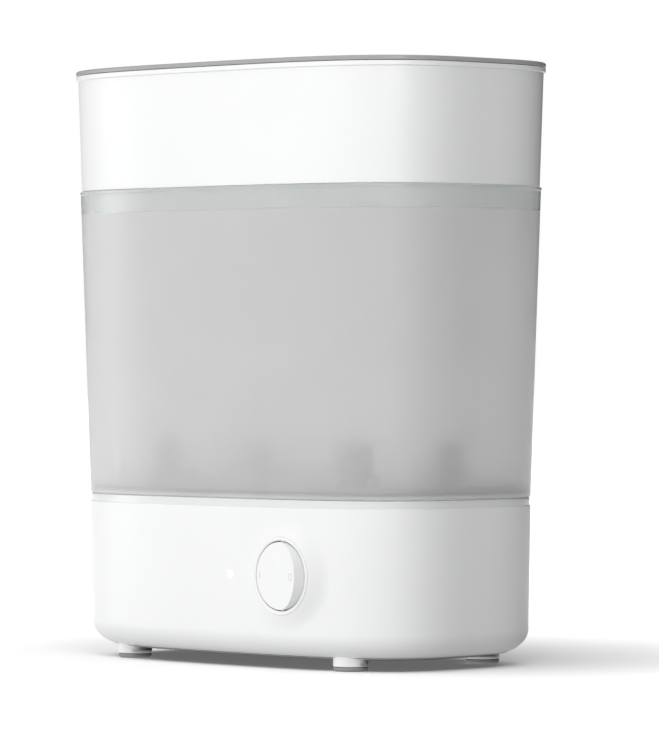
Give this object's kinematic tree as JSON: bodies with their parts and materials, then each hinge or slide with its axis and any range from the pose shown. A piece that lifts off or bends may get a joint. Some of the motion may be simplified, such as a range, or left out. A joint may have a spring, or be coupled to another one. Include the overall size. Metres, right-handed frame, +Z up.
{
  "type": "bottle sterilizer",
  "caption": "Oval electric steam sterilizer for baby bottles: heated base with a rocker switch, tall frosted basket, low white basket, vented lid.",
  "frame": {"origin": "on the floor plane under the centre of the oval outline", "axes": "+Z up, -Y is the front with the switch, +X is to the right seen from the front"},
  "size_m": [0.3182, 0.1912, 0.371],
  "materials": {
    "white_shell": "white moulded polypropylene, satin, very fine grain",
    "frosted_shell": "translucent smoke-grey polypropylene, frosted",
    "smoke_lid": "smoke-grey translucent polypropylene",
    "grey_plate": "grey moulded polypropylene, matt",
    "foot_rubber": "grey rubber, matt",
    "seal_silicone": "grey silicone",
    "steel": "brushed stainless steel",
    "circuit_board": "green circuit board",
    "dark_plastic": "black moulded plastic, matt",
    "light_pipe": "clear-white light guide",
    "lead_cover": "insulated wire"
  },
  "bodies": {
    "base": {"base_housing": "white_shell", "water_deck": "white_shell", "bottom_cover": "white_shell", "heating_plate": "steel", "plate_seal": "seal_silicone", "plate_clamp_ring": "steel", "clamp_screw_1": "steel", "clamp_screw_2": "steel", "clamp_screw_3": "steel", "heater_element": "steel", "thermostat": "dark_plastic", "thermostat_strap": "steel", "thermal_fuse": "dark_plastic", "switch_bezel": "white_shell", "rocker_pin": "steel", "switch_body": "dark_plastic", "switch_terminal_1": "steel", "switch_terminal_2": "steel", "light_guide": "light_pipe", "light_board": "circuit_board", "indicator_light": "light_pipe", "control_board": "circuit_board", "board_relay": "dark_plastic", "board_capacitor": "dark_plastic", "board_screw_1": "steel", "board_screw_2": "steel", "mains_terminal_block": "dark_plastic", "cord_gland": "dark_plastic", "foot_pad_front_left": "foot_rubber", "foot_pad_front_right": "foot_rubber", "foot_pad_back_right": "foot_rubber", "foot_pad_back_left": "foot_rubber", "cover_screw_1": "steel", "cover_screw_2": "steel", "cover_screw_3": "steel", "cover_screw_4": "steel", "switch_lead": "lead_cover", "board_lead": "lead_cover", "heater_lead": "lead_cover"},
    "rocker": {"switch_rocker": "white_shell"},
    "large_basket": {"large_basket": "frosted_shell"},
    "large_basket_plate": {"large_basket_plate": "grey_plate"},
    "small_basket": {"small_basket": "white_shell"},
    "small_basket_plate": {"small_basket_plate": "white_shell"},
    "lid": {"lid": "smoke_lid"}
  },
  "joints": [
    {"name": "rocker_tilt", "type": "hinge", "parent": "base", "child": "rocker", "pos_m": [0.0666, -0.0837, 0.0575], "axis": [0, 0, 1], "range_deg": [0, 18]},
    {"name": "large_basket_lift", "type": "slide", "parent": "base", "child": "large_basket", "axis": [0, 0, 1], "range_m": [0, 0.12]},
    {"name": "large_plate_lift", "type": "slide", "parent": "large_basket", "child": "large_basket_plate", "axis": [0, 0, 1], "range_m": [0, 0.12]},
    {"name": "small_basket_lift", "type": "slide", "parent": "large_basket", "child": "small_basket", "axis": [0, 0, 1], "range_m": [0, 0.12]},
    {"name": "small_plate_lift", "type": "slide", "parent": "small_basket", "child": "small_basket_plate", "axis": [0, 0, 1], "range_m": [0, 0.05]},
    {"name": "lid_lift", "type": "slide", "parent": "small_basket", "child": "lid", "axis": [0, 0, 1], "range_m": [0, 0.1]}
  ]
}
